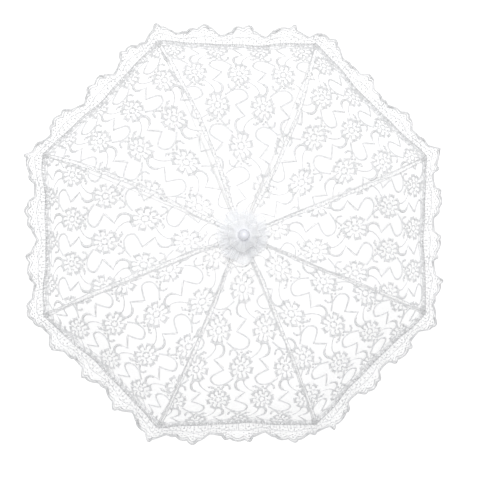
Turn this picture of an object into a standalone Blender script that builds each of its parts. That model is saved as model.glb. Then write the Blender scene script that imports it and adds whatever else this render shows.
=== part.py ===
"""Lace parasol: turned shaft and handle, eight folding ribs and a lace canopy in eight sections.

Metres, +Z up along the shaft, origin at the centre of the handle's flat bottom end. The parasol is open.
"""

import math

import bmesh
import bpy
from mathutils import Matrix, Vector

MM = 0.001
RIB_COUNT = 8
FIRST_RIB_ANGLE = math.radians(22.5)
HALF_GORE = math.pi / RIB_COUNT

# Shaft and handle
SHAFT_RADIUS = 4.0 * MM
SHAFT_BOTTOM_Z = 45.0 * MM
SHAFT_TOP_Z = 375.0 * MM
FIXED_BORE_RADIUS = 4.3 * MM
HANDLE_TOP_Z = 88.0 * MM
COLLAR_TOP_Z = 92.0 * MM

# Linkage
CROWN_PIVOT_Z = 350.0 * MM
PIVOT_RADIUS = 9.0 * MM
CLEVIS_X = 110.0 * MM
CLEVIS_DROP = 4.5 * MM
INNER_SLOPE = math.radians(13.0)
TIP_SLOPE = math.radians(53.0)
BEND_RADIUS = 216.0 * MM
JOINT_Z = -CLEVIS_X * math.tan(INNER_SLOPE) - CLEVIS_DROP
STRETCHER_LENGTH = math.hypot(CLEVIS_X, JOINT_Z)
RUNNER_PIVOT_Z = CROWN_PIVOT_Z + 2.0 * JOINT_Z

# Wire, eyes and rivets
RIB_WIRE_RADIUS = 1.0 * MM
STRETCHER_WIRE_RADIUS = 0.85 * MM
EYE_RADIUS = 1.9 * MM
EYE_HOLE_RADIUS = 0.9 * MM
EYE_WIDTH = 1.5 * MM
RING_WIRE_RADIUS = 0.5 * MM
CLEVIS_OUTER_WIDTH = 3.8 * MM
CLEVIS_INNER_WIDTH = 2.2 * MM
RIVET_RADIUS = 0.6 * MM
RIVET_HEAD_RADIUS = 1.4 * MM
TIP_CAP_RADIUS = 2.0 * MM

# Notched heads of the crown and the runner
HUB_RADIUS = 6.6 * MM
FLANGE_RADIUS = 11.5 * MM
FLANGE_HALF_HEIGHT = 3.5 * MM
SLOT_WIDTH = 2.2 * MM
SLOT_INNER_RADIUS = 6.9 * MM
GROOVE_INNER_RADIUS = 8.0 * MM
GROOVE_HALF_HEIGHT = 0.9 * MM
RUNNER_SLEEVE_LENGTH = 30.0 * MM

# Canopy and ruffle
CLOTH_THICKNESS = 0.9 * MM
CLOTH_LIFT = 3.3 * MM
CANOPY_INNER_RADIUS = 13.5 * MM
HEM_RADIUS = 245.5 * MM
SEAM_GAP = 0.4 * MM
HEM_SCALLOP = 5.0 * MM
CHORD_SAG = 3.5 * MM
RUFFLE_LENGTH_AT_RIB = 13.0 * MM
RUFFLE_LENGTH_AT_MIDDLE = 28.2 * MM
RUFFLE_SLOPE = math.radians(28.0)
RUFFLE_WAVE = 2.2 * MM


# ---------------------------------------------------------------- helpers


def clear_scene():
    for obj in list(bpy.data.objects):
        bpy.data.objects.remove(obj, do_unlink=True)


def material(name, color, roughness, metallic=0.0):
    found = bpy.data.materials.get(name)
    if found:
        return found
    made = bpy.data.materials.new(name)
    made.use_nodes = True
    shader = made.node_tree.nodes["Principled BSDF"]
    shader.inputs["Base Color"].default_value = (*color, 1.0)
    shader.inputs["Roughness"].default_value = roughness
    shader.inputs["Metallic"].default_value = metallic
    made.diffuse_color = (*color, 1.0)
    return made


def mesh_from(vertices, faces, name="mesh"):
    mesh = bpy.data.meshes.new(name)
    mesh.from_pydata([tuple(v) for v in vertices], [], faces)
    work = bmesh.new()
    work.from_mesh(mesh)
    bmesh.ops.recalc_face_normals(work, faces=work.faces)
    work.to_mesh(mesh)
    work.free()
    return mesh


def add_object(name, mesh):
    obj = bpy.data.objects.new(name, mesh)
    bpy.context.scene.collection.objects.link(obj)
    return obj


def combine(base, other, operation):
    """Return base after an exact Boolean with other. Both input meshes are used up."""
    first = add_object("boolean_base", base)
    second = add_object("boolean_tool", other)
    modifier = first.modifiers.new("boolean", "BOOLEAN")
    modifier.operation = operation
    modifier.solver = "EXACT"
    modifier.object = second
    bpy.context.view_layer.update()
    graph = bpy.context.evaluated_depsgraph_get()
    result = bpy.data.meshes.new_from_object(first.evaluated_get(graph))
    bpy.data.objects.remove(first, do_unlink=True)
    bpy.data.objects.remove(second, do_unlink=True)
    return result


def joined(*meshes):
    result = meshes[0]
    for mesh in meshes[1:]:
        result = combine(result, mesh, "UNION")
    return result


def cut(base, *tools):
    for tool in tools:
        base = combine(base, tool, "DIFFERENCE")
    return base


def moved(mesh, matrix):
    mesh.transform(matrix)
    return mesh


def turned(profile, segments):
    """Solid of revolution about Z. The profile is a closed loop of (radius, z), or ends on the axis."""
    vertices = []
    rings = []
    for radius, z in profile:
        if radius < 1e-9:
            rings.append([len(vertices)])
            vertices.append((0.0, 0.0, z))
            continue
        start = len(vertices)
        rings.append(list(range(start, start + segments)))
        for step in range(segments):
            turn = 2.0 * math.pi * step / segments
            vertices.append((radius * math.cos(turn), radius * math.sin(turn), z))
    faces = []
    for index, ring in enumerate(rings):
        after = rings[(index + 1) % len(rings)]
        if len(ring) == 1 and len(after) == 1:
            continue
        for step in range(segments):
            ahead = (step + 1) % segments
            if len(ring) == 1:
                faces.append((ring[0], after[step], after[ahead]))
            elif len(after) == 1:
                faces.append((ring[step], after[0], ring[ahead]))
            else:
                faces.append((ring[step], after[step], after[ahead], ring[ahead]))
    return mesh_from(vertices, faces)


def rod(start, end, radius, sides=10):
    """Closed cylinder between two points."""
    start = Vector(start)
    end = Vector(end)
    length = (end - start).length
    mesh = turned([(0.0, 0.0), (radius, 0.0), (radius, length), (0.0, length)], sides)
    turn = (end - start).to_track_quat("Z", "Y").to_matrix().to_4x4()
    return moved(mesh, Matrix.Translation(start) @ turn)


def block(low, high):
    x0, y0, z0 = low
    x1, y1, z1 = high
    vertices = [(x, y, z) for x in (x0, x1) for y in (y0, y1) for z in (z0, z1)]
    faces = [(0, 1, 3, 2), (4, 6, 7, 5), (0, 4, 5, 1), (2, 3, 7, 6), (0, 2, 6, 4), (1, 5, 7, 3)]
    return mesh_from(vertices, faces)


def extruded(outline, half_width):
    """Prism from an outline in the XZ plane, half_width to each side of it."""
    count = len(outline)
    vertices = [(x, side, z) for side in (-half_width, half_width) for x, z in outline]
    faces = [tuple(range(count)), tuple(range(count, 2 * count))]
    faces += [(i, (i + 1) % count, count + (i + 1) % count, count + i) for i in range(count)]
    return mesh_from(vertices, faces)


def swept_wire(points, radius, sides=6):
    """Wire along points in the XZ plane."""
    vertices = []
    for index, point in enumerate(points):
        before = Vector(points[max(index - 1, 0)])
        after = Vector(points[min(index + 1, len(points) - 1)])
        along = (after - before).normalized()
        normal = Vector((-along[1], along[0]))
        for step in range(sides):
            turn = 2.0 * math.pi * (step + 0.5) / sides
            lift = radius * math.sin(turn)
            side = radius * math.cos(turn)
            vertices.append((point[0] + lift * normal[0], side, point[1] + lift * normal[1]))
    faces = [tuple(range(sides)), tuple(range(len(vertices) - sides, len(vertices)))]
    for index in range(len(points) - 1):
        for step in range(sides):
            ahead = (step + 1) % sides
            low = index * sides
            faces.append((low + step, low + ahead, low + sides + ahead, low + sides + step))
    return mesh_from(vertices, faces)


def ring_mesh(major, minor, major_segments=40, minor_segments=6):
    vertices = []
    faces = []
    for step in range(major_segments):
        turn = 2.0 * math.pi * step / major_segments
        for around in range(minor_segments):
            roll = 2.0 * math.pi * around / minor_segments
            radius = major + minor * math.cos(roll)
            vertices.append((radius * math.cos(turn), radius * math.sin(turn), minor * math.sin(roll)))
            ahead = (step + 1) % major_segments
            beside = (around + 1) % minor_segments
            faces.append(
                (
                    step * minor_segments + around,
                    ahead * minor_segments + around,
                    ahead * minor_segments + beside,
                    step * minor_segments + beside,
                )
            )
    return mesh_from(vertices, faces)


def rib_frame(index):
    """Frame at the crown pivot of one rib: X outward, Y tangential, Z up."""
    angle = FIRST_RIB_ANGLE + index * 2.0 * HALF_GORE
    return Matrix.Rotation(angle, 4, "Z") @ Matrix.Translation((PIVOT_RADIUS, 0.0, CROWN_PIVOT_Z))


def place(name, mesh, look, matrix=None):
    obj = add_object(name, mesh)
    if not mesh.materials:
        mesh.materials.append(look)
    if matrix is not None:
        obj.matrix_world = matrix
    return obj


# ---------------------------------------------------------------- rib line


def rib_point(x):
    """Height and slope of the rib's centreline at x, in the rib's own frame."""
    if x <= CLEVIS_X:
        return -x * math.tan(INNER_SLOPE), INNER_SLOPE
    start_z = -CLEVIS_X * math.tan(INNER_SLOPE)
    sine = math.sin(INNER_SLOPE) + (x - CLEVIS_X) / BEND_RADIUS
    slope = math.asin(min(sine, 0.999))
    return start_z - BEND_RADIUS * (math.cos(INNER_SLOPE) - math.cos(slope)), slope


def rib_end_x():
    return CLEVIS_X + BEND_RADIUS * (math.sin(TIP_SLOPE) - math.sin(INNER_SLOPE))


def cloth_point(radius):
    """Mid-surface of the cloth over the rib: (radius, z) above the rib point at that radius."""
    x = radius - PIVOT_RADIUS
    z, slope = rib_point(x)
    return radius + CLOTH_LIFT * math.sin(slope), CROWN_PIVOT_Z + z + CLOTH_LIFT * math.cos(slope)


# ---------------------------------------------------------------- shaft group


def build_shaft(wood):
    body = turned(
        [(0.0, SHAFT_BOTTOM_Z), (SHAFT_RADIUS, SHAFT_BOTTOM_Z), (SHAFT_RADIUS, SHAFT_TOP_Z), (0.0, SHAFT_TOP_Z)],
        28,
    )
    slot = block((1.0 * MM, -1.1 * MM, 236.0 * MM), (5.0 * MM, 1.1 * MM, 262.0 * MM))
    hole = rod((0.0, -6.0 * MM, 295.4 * MM), (0.0, 6.0 * MM, 295.4 * MM), 0.95 * MM, 12)
    return place("shaft", cut(body, slot, hole), wood)


def build_handle(wood):
    outline = [
        (0.0, 0.0),
        (7.2, 0.0),
        (8.6, 0.9),
        (9.4, 2.6),
        (9.6, 5.0),
        (9.0, 8.0),
        (7.4, 11.0),
        (6.5, 14.0),
        (7.3, 16.6),
        (7.4, 18.4),
        (6.7, 20.6),
        (7.0, 26.0),
        (8.0, 34.0),
        (8.9, 44.0),
        (9.1, 54.0),
        (8.5, 64.0),
        (7.3, 73.0),
        (6.5, 78.0),
        (7.4, 80.4),
        (7.6, 82.6),
        (6.9, 85.0),
        (6.9, 88.0),
        (4.3, 88.0),
        (4.3, 44.7),
        (0.0, 44.7),
    ]
    profile = [(radius * MM, z * MM) for radius, z in outline]
    return place("handle", turned(profile, 28), wood)


def build_collar(plastic):
    outline = [(4.3, 88.3), (7.6, 88.3), (8.0, 89.0), (8.0, 91.2), (7.4, 92.0), (4.3, 92.0)]
    return place("handle_collar", turned([(r * MM, z * MM) for r, z in outline], 28), plastic)


def build_ferrule(plastic):
    outline = [
        (4.3, 356.3),
        (6.2, 356.3),
        (6.2, 373.6),
        (9.3, 374.4),
        (9.6, 376.0),
        (8.8, 378.2),
        (7.0, 380.6),
        (5.8, 384.0),
        (5.2, 388.0),
        (4.9, 392.0),
        (4.5, 395.6),
        (3.5, 398.2),
        (1.9, 399.6),
        (0.0, 400.0),
        (0.0, 375.3),
        (4.3, 375.3),
    ]
    return place("ferrule", turned([(r * MM, z * MM) for r, z in outline], 28), plastic)


def notched_head(pivot_z, low_z, high_z, bore_radius, extra_rim=False):
    """Hub with a slotted flange. The ring lies in a groove at the pivot height."""
    flange_low = pivot_z - FLANGE_HALF_HEIGHT
    flange_high = pivot_z + FLANGE_HALF_HEIGHT
    outline = [(bore_radius, low_z)]
    if extra_rim:
        outline += [(8.0 * MM, low_z), (8.0 * MM, low_z + 2.0 * MM), (HUB_RADIUS, low_z + 3.2 * MM)]
    else:
        outline += [(HUB_RADIUS, low_z)]
    outline += [
        (HUB_RADIUS, flange_low),
        (FLANGE_RADIUS, flange_low),
        (FLANGE_RADIUS, pivot_z - GROOVE_HALF_HEIGHT),
        (GROOVE_INNER_RADIUS, pivot_z - GROOVE_HALF_HEIGHT),
        (GROOVE_INNER_RADIUS, pivot_z + GROOVE_HALF_HEIGHT),
        (FLANGE_RADIUS, pivot_z + GROOVE_HALF_HEIGHT),
        (FLANGE_RADIUS, flange_high),
        (HUB_RADIUS, flange_high),
    ]
    if high_z > flange_high + 1e-6:
        outline += [(HUB_RADIUS, high_z)]
    outline += [(bore_radius, high_z)]
    head = turned(outline, 32)
    for index in range(RIB_COUNT):
        angle = FIRST_RIB_ANGLE + index * 2.0 * HALF_GORE
        low = (SLOT_INNER_RADIUS, -SLOT_WIDTH / 2.0, flange_low - 1.0 * MM)
        high = (FLANGE_RADIUS + 2.0 * MM, SLOT_WIDTH / 2.0, flange_high + 1.0 * MM)
        slot = moved(block(low, high), Matrix.Rotation(angle, 4, "Z"))
        head = cut(head, slot)
    return head


def build_crown(plastic):
    head = notched_head(CROWN_PIVOT_Z, 338.0 * MM, CROWN_PIVOT_Z + FLANGE_HALF_HEIGHT, FIXED_BORE_RADIUS)
    return place("crown", head, plastic)


def build_runner(plastic):
    low_z = RUNNER_PIVOT_Z - RUNNER_SLEEVE_LENGTH
    head = notched_head(
        RUNNER_PIVOT_Z, low_z, RUNNER_PIVOT_Z + FLANGE_HALF_HEIGHT, FIXED_BORE_RADIUS, extra_rim=True
    )
    return place("runner", head, plastic)


def build_rings(wire):
    for name, z in (("crown_ring", CROWN_PIVOT_Z), ("runner_ring", RUNNER_PIVOT_Z)):
        place(name, ring_mesh(PIVOT_RADIUS, RING_WIRE_RADIUS), wire, Matrix.Translation((0.0, 0.0, z)))


def build_canopy_cap(plastic):
    outline = [(4.3, 354.4), (15.4, 354.4), (16.0, 355.0), (15.0, 355.9), (4.3, 356.0)]
    return place("canopy_cap", turned([(r * MM, z * MM) for r, z in outline], 32), plastic)


def build_rosette(cloth):
    """Pleated rosette: its rim and top rise and fall with the pleats."""
    outline = [
        (7.5, 356.6),
        (16.5, 356.6),
        (23.0, 354.4),
        (28.6, 352.6),
        (30.0, 354.0),
        (29.2, 359.0),
        (25.0, 364.5),
        (19.0, 369.2),
        (12.5, 372.2),
        (8.4, 372.8),
        (7.5, 370.6),
    ]
    segments = 48
    mesh = turned([(r * MM, z * MM) for r, z in outline], segments)
    for vertex in mesh.vertices:
        radius = math.hypot(vertex.co.x, vertex.co.y)
        share = max(0.0, (radius - 10.0 * MM) / (20.0 * MM))
        if share == 0.0 or vertex.co.z < 354.0 * MM:
            continue
        turn = math.atan2(vertex.co.y, vertex.co.x)
        scale = 1.0 - 0.035 * share * (1.0 - math.cos(16.0 * turn))
        vertex.co.x *= scale
        vertex.co.y *= scale
    return place("rosette", mesh, cloth)


def build_catch(wire):
    outline = [(1.4, 237.0), (2.2, 237.0), (2.4, 243.0), (6.3, 258.0), (6.3, 259.6), (5.2, 259.6), (1.5, 243.5)]
    outline = [(x * MM, z * MM) for x, z in outline]
    return place("catch_spring", extruded(outline, 0.8 * MM), wire)


def build_stop_pin(wire):
    height = 295.4 * MM
    return place("stop_pin", rod((0.0, -5.6 * MM, height), (0.0, 5.6 * MM, height), 0.7 * MM, 12), wire)


# ---------------------------------------------------------------- ribs and stretchers


def eye(center_x, center_z):
    start = (center_x, -EYE_WIDTH / 2.0, center_z)
    end = (center_x, EYE_WIDTH / 2.0, center_z)
    return rod(start, end, EYE_RADIUS, 12)


def eye_hole(center_x, center_z):
    start = (center_x, -4.0 * MM, center_z)
    end = (center_x, 4.0 * MM, center_z)
    return rod(start, end, EYE_HOLE_RADIUS, 10)


def clevis_mesh():
    """Saddle on the wire with two ears that reach down to the pivot."""
    half = 1.9 * MM
    top = 1.4 * MM
    outline = [(half, -CLEVIS_DROP), (half, top), (-half, top), (-half, -CLEVIS_DROP)]
    for step in range(1, 6):
        turn = math.pi * step / 6.0
        outline.append((-half * math.cos(turn), -CLEVIS_DROP - half * math.sin(turn)))
    body = extruded(outline, CLEVIS_OUTER_WIDTH / 2.0)
    gap = block(
        (-6.0 * MM, -CLEVIS_INNER_WIDTH / 2.0, -9.0 * MM), (6.0 * MM, CLEVIS_INNER_WIDTH / 2.0, -1.5 * MM)
    )
    return moved(cut(body, gap), Matrix.Translation((CLEVIS_X, 0.0, rib_point(CLEVIS_X)[0])))


def rib_mesh():
    line = [(1.2 * MM, rib_point(1.2 * MM)[0]), (CLEVIS_X, rib_point(CLEVIS_X)[0])]
    steps = 9
    end_x = rib_end_x()
    for step in range(1, steps + 1):
        slope = INNER_SLOPE + (TIP_SLOPE - INNER_SLOPE) * step / steps
        x = CLEVIS_X + BEND_RADIUS * (math.sin(slope) - math.sin(INNER_SLOPE))
        line.append((min(x, end_x), rib_point(x)[0]))
    wire = swept_wire(line, RIB_WIRE_RADIUS)
    clevis = clevis_mesh()
    mesh = joined(wire, clevis, eye(0.0, 0.0))
    return cut(mesh, eye_hole(0.0, 0.0), eye_hole(CLEVIS_X, JOINT_Z))


def stretcher_mesh():
    """Strut from the clevis to the runner. Its own origin is the clevis pivot."""
    end = Vector((-CLEVIS_X, 0.0, JOINT_Z))
    along = end.normalized()
    bar = rod(along * 1.2 * MM, end - along * 1.2 * MM, STRETCHER_WIRE_RADIUS, 6)
    mesh = joined(bar, eye(0.0, 0.0), eye(end.x, end.z))
    return cut(mesh, eye_hole(0.0, 0.0), eye_hole(end.x, end.z))


def rivet_mesh():
    half = CLEVIS_OUTER_WIDTH / 2.0
    inner = half + 0.3 * MM
    outer = inner + 0.6 * MM
    outline = [
        (0.0, -outer),
        (RIVET_HEAD_RADIUS * 0.8, -outer),
        (RIVET_HEAD_RADIUS, -inner),
        (RIVET_RADIUS, -inner),
        (RIVET_RADIUS, inner),
        (RIVET_HEAD_RADIUS, inner),
        (RIVET_HEAD_RADIUS * 0.8, outer),
        (0.0, outer),
    ]
    mesh = turned(outline, 10)
    return moved(mesh, Matrix.Rotation(math.pi / 2.0, 4, "X"))


def tip_cap_mesh():
    """Cap over the end of the rib, from 3.5 mm inside the end to 4.5 mm past it."""
    outline = [
        (1.3, -3.5),
        (2.0, -3.5),
        (2.0, 2.6),
        (1.5, 4.0),
        (0.0, 4.5),
        (0.0, 0.4),
        (1.3, 0.4),
    ]
    mesh = turned([(r * MM, z * MM) for r, z in outline], 10)
    end_x = rib_end_x()
    end_z = rib_point(end_x)[0]
    tilt = Matrix.Rotation(math.pi / 2.0 + TIP_SLOPE - math.radians(1.5), 4, "Y")
    return moved(mesh, Matrix.Translation((end_x, 0.0, end_z)) @ tilt)


# ---------------------------------------------------------------- canopy


def shell_between(rows, thickness):
    """Closed shell from a grid of mid-surface points. Rows run from the crown outward."""
    count = len(rows)
    width = len(rows[0])

    def normal_at(i, j):
        down = rows[min(i + 1, count - 1)][j] - rows[max(i - 1, 0)][j]
        across = rows[i][min(j + 1, width - 1)] - rows[i][max(j - 1, 0)]
        return down.cross(across).normalized()

    vertices = []
    for side in (0.5, -0.5):
        for i in range(count):
            for j in range(width):
                vertices.append(rows[i][j] + normal_at(i, j) * side * thickness)
    faces = []
    size = count * width
    for i in range(count - 1):
        for j in range(width - 1):
            a = i * width + j
            b = a + 1
            c = a + width + 1
            d = a + width
            faces.append((a, b, c, d))
            faces.append((size + a, size + d, size + c, size + b))
    border = [(0, j) for j in range(width)]
    border += [(i, width - 1) for i in range(1, count)]
    border += [(count - 1, j) for j in range(width - 2, -1, -1)]
    border += [(i, 0) for i in range(count - 2, 0, -1)]
    loop = [i * width + j for i, j in border]
    for step, here in enumerate(loop):
        ahead = loop[(step + 1) % len(loop)]
        faces.append((here, size + here, size + ahead, ahead))
    return mesh_from(vertices, faces)


def hem_radius(share):
    """Rib radius whose chord holds the hem at share (0 on the rib, 1 at the gore's middle)."""
    return HEM_RADIUS - HEM_SCALLOP / math.cos(HALF_GORE) * math.sin(share * math.pi / 2.0) ** 2


def canopy_surface(radius, share):
    """Point on the cloth. Share runs from -1 to 1 between the middles of the two gores."""
    along, height = cloth_point(radius)
    middle = along * math.cos(HALF_GORE)
    reach = middle * math.sin(HALF_GORE) - SEAM_GAP / 2.0
    inward = along - middle * math.cos(HALF_GORE)
    outness = (radius - CANOPY_INNER_RADIUS) / (HEM_RADIUS - CANOPY_INNER_RADIUS)
    sag = CHORD_SAG * math.sin(math.pi / 2.0 * abs(share)) ** 2 * math.sin(math.pi * outness)
    return Vector((along - inward * abs(share), reach * share, height - sag))


def canopy_mesh():
    shares = [-1.0, -0.66, -0.33, 0.0, 0.33, 0.66, 1.0]
    fractions = [0.0, 0.12, 0.25, 0.38, 0.48, 0.58, 0.68, 0.77, 0.85, 0.93, 1.0]
    rows = []
    for fraction in fractions:
        row = []
        for share in shares:
            outer = hem_radius(abs(share))
            radius = CANOPY_INNER_RADIUS + (outer - CANOPY_INNER_RADIUS) * fraction
            row.append(canopy_surface(radius, share))
        rows.append(row)
    return shell_between(rows, CLOTH_THICKNESS)


def ruffle_mesh():
    shares = [step / 6.0 for step in range(-6, 7)]
    rows = []
    for fraction in (0.0, 0.5, 1.0):
        row = []
        for share in shares:
            start = canopy_surface(hem_radius(abs(share)), share)
            blend = math.sin(abs(share) * math.pi / 2.0) ** 0.6
            length = RUFFLE_LENGTH_AT_RIB + (RUFFLE_LENGTH_AT_MIDDLE - RUFFLE_LENGTH_AT_RIB) * blend
            heading = HALF_GORE * share
            outward = Vector((math.cos(heading), math.sin(heading), 0.0))
            reach = (0.9 * MM + fraction * length) * math.cos(RUFFLE_SLOPE)
            drop = (0.9 * MM + fraction * length) * math.sin(RUFFLE_SLOPE)
            wave = RUFFLE_WAVE * fraction * math.cos(6.0 * math.pi * share)
            point = start + outward * reach - Vector((0.0, 0.0, drop - wave))
            if abs(share) == 1.0:
                edge = point.x * math.tan(HALF_GORE) - SEAM_GAP / 2.0
                point.y = math.copysign(edge, share)
            row.append(point)
        rows.append(row)
    return shell_between(rows, CLOTH_THICKNESS)


def build_fold(looks):
    """The eight ribs with all that rides on them, and the eight stretchers."""
    rib = rib_mesh()
    stretcher = stretcher_mesh()
    rivet = rivet_mesh()
    tip_cap = tip_cap_mesh()
    to_rib_frame = Matrix.Translation((-PIVOT_RADIUS, 0.0, -CROWN_PIVOT_Z))
    canopy = moved(canopy_mesh(), to_rib_frame)
    ruffle = moved(ruffle_mesh(), to_rib_frame)
    at_joint = Matrix.Translation((CLEVIS_X, 0.0, JOINT_Z))
    for index in range(RIB_COUNT):
        number = index + 1
        frame = rib_frame(index)
        place(f"rib_{number}", rib, looks["wire"], frame)
        place(f"rib_rivet_{number}", rivet, looks["steel"], frame @ at_joint)
        place(f"tip_cap_{number}", tip_cap, looks["plastic"], frame)
        place(f"canopy_section_{number}", canopy, looks["lace"], frame)
        place(f"ruffle_section_{number}", ruffle, looks["ruffle"], frame)
        place(f"stretcher_{number}", stretcher, looks["strut"], frame @ at_joint)


def main():
    clear_scene()
    looks = {
        "wire": material("rib_wire", (0.86, 0.86, 0.87), 0.35),
        "strut": material("stretcher_wire", (0.84, 0.84, 0.86), 0.35),
        "steel": material("steel", (0.62, 0.63, 0.65), 0.3, 1.0),
        "plastic": material("white_plastic", (0.93, 0.93, 0.92), 0.4),
        "lace": material("lace", (0.95, 0.95, 0.94), 0.9),
        "ruffle": material("ruffle_lace", (0.96, 0.96, 0.95), 0.9),
    }
    build_shaft(material("shaft_wood", (0.78, 0.62, 0.42), 0.5))
    build_handle(material("handle_wood", (0.76, 0.58, 0.38), 0.45))
    build_collar(looks["plastic"])
    build_ferrule(material("ferrule_plastic", (0.94, 0.94, 0.93), 0.35))
    build_crown(looks["plastic"])
    build_runner(looks["plastic"])
    build_rings(looks["steel"])
    build_canopy_cap(looks["plastic"])
    build_rosette(material("rosette_tulle", (0.96, 0.96, 0.95), 0.9))
    build_catch(looks["steel"])
    build_stop_pin(looks["steel"])
    build_fold(looks)


main()
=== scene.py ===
"""Looks of the lace parasol: lace canopy with raised motifs, gathered ruffle, rosette and materials.

Metres, in the CAD frame: +Z up along the shaft, ribs at 22.5 degrees and every 45 degrees from +X.
"""

import math

import bpy
import numpy as np
from mathutils import Matrix, Vector


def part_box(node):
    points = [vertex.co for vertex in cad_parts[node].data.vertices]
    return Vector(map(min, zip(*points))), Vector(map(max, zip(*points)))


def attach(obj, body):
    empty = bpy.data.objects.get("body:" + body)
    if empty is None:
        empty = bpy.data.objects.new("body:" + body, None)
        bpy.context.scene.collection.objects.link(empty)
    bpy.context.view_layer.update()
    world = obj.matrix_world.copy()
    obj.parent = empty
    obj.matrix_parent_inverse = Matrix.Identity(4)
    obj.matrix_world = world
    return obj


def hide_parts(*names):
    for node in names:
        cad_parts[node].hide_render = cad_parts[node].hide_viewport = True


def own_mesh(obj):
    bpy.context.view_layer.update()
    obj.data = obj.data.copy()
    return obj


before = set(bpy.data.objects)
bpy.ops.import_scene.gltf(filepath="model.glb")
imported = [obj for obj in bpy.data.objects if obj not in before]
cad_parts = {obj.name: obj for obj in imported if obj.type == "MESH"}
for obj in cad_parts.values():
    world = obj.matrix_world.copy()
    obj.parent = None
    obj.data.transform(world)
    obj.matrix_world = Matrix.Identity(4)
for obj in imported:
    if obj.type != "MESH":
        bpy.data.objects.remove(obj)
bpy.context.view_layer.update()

MM = 0.001
GORES = 8
HALF = math.pi / GORES

# The rib line and the cloth over it, as the CAD has them
CROWN_PIVOT_Z = 350.0 * MM
PIVOT_RADIUS = 9.0 * MM
BEND_START = 110.0 * MM
INNER_SLOPE = math.radians(13.0)
BEND_RADIUS = 216.0 * MM
CLOTH_LIFT = 3.3 * MM
INNER_RADIUS = 13.5 * MM
HEM_RADIUS = 245.5 * MM
HEM_SCALLOP = 5.0 * MM
CHORD_SAG = 3.5 * MM

# Hem: each cord's distance in from the edge, half width and height, in mm
HEM_CORDS = [
    (-0.3, 0.55, 0.55),
    (1.7, 0.55, 0.45),
    (3.9, 0.6, 0.45),
    (6.2, 0.5, 0.4),
    (8.8, 0.55, 0.45),
]
HEM_GATHERS = 104
HEM_GATHER_REACH = 6.6
HEM_WANDER = 1.6 * MM

# Seams along the ribs: half the distance between the cords in mm, points along the seam, and how many
# of those points there are to each stitch and each knot
SEAM_HALF = 2.0
SEAM_POINTS = 180
SEAM_STITCH_EVERY = 4
SEAM_KNOT_EVERY = 2

# Sideways drift of the cloth halfway out, where the seams bow off the ribs: a twist and a shift
DRIFT_TWIST = -3.2 * MM
DRIFT_SHIFT_X = 4.5 * MM
DRIFT_SHIFT_Y = 1.4 * MM

# Small puckers along the seams
PUCKER_HEIGHT = 0.55 * MM
PUCKER_PITCH = 15.0 * MM
PUCKER_REACH = 13.0 * MM
PUCKER_FULL_WIDTH = 25.0 * MM

# Ruffle
RUFFLE_AT_RIB = 17.5 * MM
RUFFLE_AT_MIDDLE = 22.0 * MM
RUFFLE_HALF_LENGTH = 94.0 * MM
RUFFLE_SLOPE = math.radians(28.0)
RUFFLE_WAVES = 58
RUFFLE_SLOW_WAVES = 29
RUFFLE_WAVE_HEIGHT = 3.6 * MM
RUFFLE_CURL = 2.0 * MM
RUFFLE_SPREAD = 0.27
SCALLOPS_PER_GORE = 15
SCALLOP_DEPTH = 3.4 * MM
RUFFLE_GATHERS = 46
# Dots of the ruffle: sideways share of a scallop, fraction of the width, radius in mm
RUFFLE_DOTS = [
    (0.5, 0.72, 1.0),
    (0.25, 0.66, 0.85),
    (0.75, 0.66, 0.85),
    (0.5, 0.57, 0.9),
    (0.0, 0.6, 0.8),
    (0.25, 0.33, 0.8),
    (0.75, 0.33, 0.8),
    (0.5, 0.2, 0.9),
    (0.0, 0.45, 0.8),
    (0.5, 0.43, 0.75),
    (0.0, 0.18, 0.8),
]

# Lace repeat, and how it lies in each gore: where a flower is, sideways from the gore's middle and up
# from the hem, in mm, then which way up the lace was cut and which way its first row leans
REPEAT_ACROSS = 50.0 * MM
REPEAT_ALONG = 47.5 * MM
GORE_LACE = [
    (-6, 70, -1, 1),
    (0, 60, 1, -1),
    (-14, 58, -1, 1),
    (-18, 52, 1, 1),
    (-4, 29, -1, 1),
    (-24, 53, 1, -1),
    (-22, 57, -1, 1),
    (8, 28, 1, -1),
]
LACE_ROWS = range(-3, 8)
LACE_COLUMNS = range(-4, 5)
UNIT_REACH = 70.0 * MM
EDGE_MARGIN = 1.6 * MM

# Points of the grids and cords of each rib's section. NET_COLUMNS is for one side of the rib.
NET_COLUMNS = 13
NET_ROWS = 49
RUFFLE_COLUMNS = 121
RUFFLE_ROWS = 10
TRIM_POINTS = 201
HEM_POINTS = 121

# Weight of the lace's threads at three rib radii: they grow heavier outward
LACE_WEIGHT_RADII = (40.0 * MM, 150.0 * MM, 235.0 * MM)
LACE_WEIGHTS = (0.62, 0.97, 1.16)
THREAD_STEP = 1.5 * MM
THREAD_HEIGHT = 0.34 * MM
KNOT_HEIGHT = 0.72 * MM

# Flower, in mm: loops of the petals, arcs on their ends, knots on the rim and between the petals, and
# the ring, dots and spokes in the middle. AT is a distance from the flower's middle.
PETALS = 8
PETAL_AT = 8.2
PETAL_LOOP = 2.7
ARC_AT = 9.1
ARC_LOOP = 3.2
RIM_KNOT_AT = 12.7
RIM_KNOT = 1.15
INNER_KNOT_AT = 6.4
INNER_KNOT = 0.8
MIDDLE_RING = 3.5
FLOWER_DOTS = 5
DOT_AT = 3.1
DOT = 1.3
SPOKE_END = 6.6
FLOWER_STRETCH = 1.38

# Thread wound round each tip cap: its slope, turns, radius and radius over the rib
TIE_SLOPE = math.radians(51.5)
TIE_TURNS = 4
TIE_RADIUS = 2.35 * MM
TIE_TOP_RADIUS = 3.1 * MM

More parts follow.
